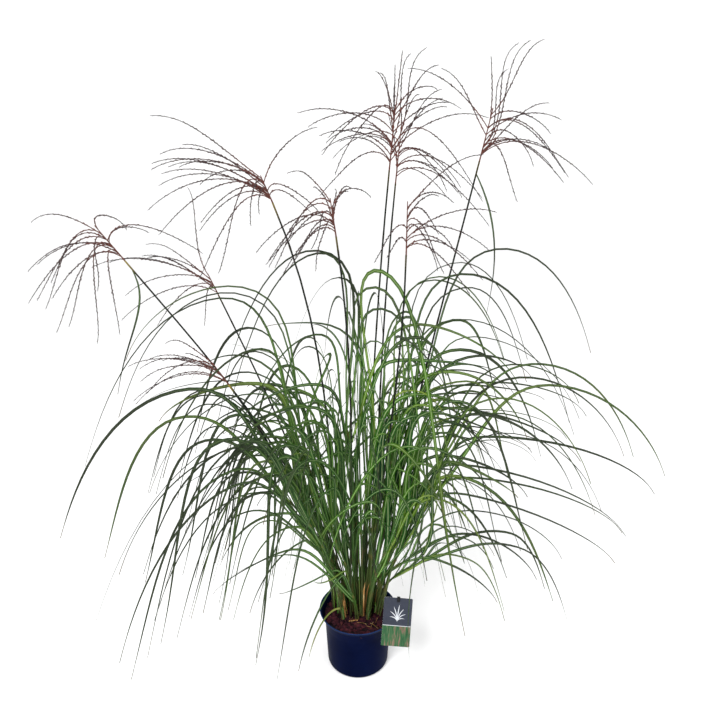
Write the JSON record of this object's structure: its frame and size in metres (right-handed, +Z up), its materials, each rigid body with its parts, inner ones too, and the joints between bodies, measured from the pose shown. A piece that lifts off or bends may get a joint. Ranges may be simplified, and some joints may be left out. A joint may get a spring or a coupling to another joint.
{
  "type": "potted miscanthus grass clump",
  "caption": "Fountain of arching grass leaves and tall flower stems with fingered plumes, rooted in bark in a round nursery pot with a hanging label.",
  "frame": {"origin": "centre of the flat underside of the pot", "axes": "+Z up through the pot, -Y towards the side that the label faces, +X to the right seen from that side"},
  "size_m": [1.3649, 0.9091, 1.45],
  "materials": {
    "pot_plastic": "dark blue moulded plastic with a soft sheen",
    "bark_medium": "damp reddish-brown bark chips and coir",
    "label_card": "printed card, slate above and green below a white line",
    "stake_plastic": "black moulded plastic",
    "grass_leaf": "mid green leaf with a pale midrib, satin",
    "flower_stem": "dark green polished cane",
    "flower_plume": "reddish-brown and mauve spikelets"
  },
  "bodies": {
    "root": {"pot": "pot_plastic", "growing_medium": "bark_medium", "plant_label": "label_card", "label_stake": "stake_plastic", "flower_stem_1": "flower_stem", "flower_stem_2": "flower_stem", "flower_stem_3": "flower_stem", "flower_stem_4": "flower_stem", "flower_stem_5": "flower_stem", "flower_stem_6": "flower_stem", "flower_stem_7": "flower_stem", "flower_stem_8": "flower_stem", "flower_stem_9": "flower_stem", "flower_plume_1": "flower_plume", "flower_plume_2": "flower_plume", "flower_plume_3": "flower_plume", "flower_plume_4": "flower_plume", "flower_plume_5": "flower_plume", "flower_plume_6": "flower_plume", "flower_plume_7": "flower_plume", "flower_plume_8": "flower_plume", "flower_plume_9": "flower_plume", "grass_tuft_01": "grass_leaf", "grass_tuft_02": "grass_leaf", "grass_tuft_03": "grass_leaf", "grass_tuft_04": "grass_leaf", "grass_tuft_05": "grass_leaf", "grass_tuft_06": "grass_leaf", "grass_tuft_07": "grass_leaf", "grass_tuft_08": "grass_leaf", "grass_tuft_09": "grass_leaf", "grass_tuft_10": "grass_leaf", "grass_tuft_11": "grass_leaf", "grass_tuft_12": "grass_leaf", "grass_tuft_13": "grass_leaf", "grass_tuft_14": "grass_leaf", "grass_tuft_15": "grass_leaf", "grass_tuft_16": "grass_leaf", "grass_tuft_17": "grass_leaf", "grass_tuft_18": "grass_leaf", "grass_tuft_19": "grass_leaf", "grass_tuft_20": "grass_leaf", "grass_tuft_21": "grass_leaf", "grass_tuft_22": "grass_leaf", "grass_tuft_23": "grass_leaf", "grass_tuft_24": "grass_leaf", "grass_tuft_25": "grass_leaf", "grass_tuft_26": "grass_leaf", "grass_tuft_27": "grass_leaf", "grass_tuft_28": "grass_leaf", "grass_tuft_29": "grass_leaf", "grass_tuft_30": "grass_leaf", "grass_tuft_31": "grass_leaf", "grass_tuft_32": "grass_leaf", "grass_tuft_33": "grass_leaf", "grass_tuft_34": "grass_leaf", "grass_tuft_35": "grass_leaf", "grass_tuft_36": "grass_leaf"}
  },
  "joints": []
}
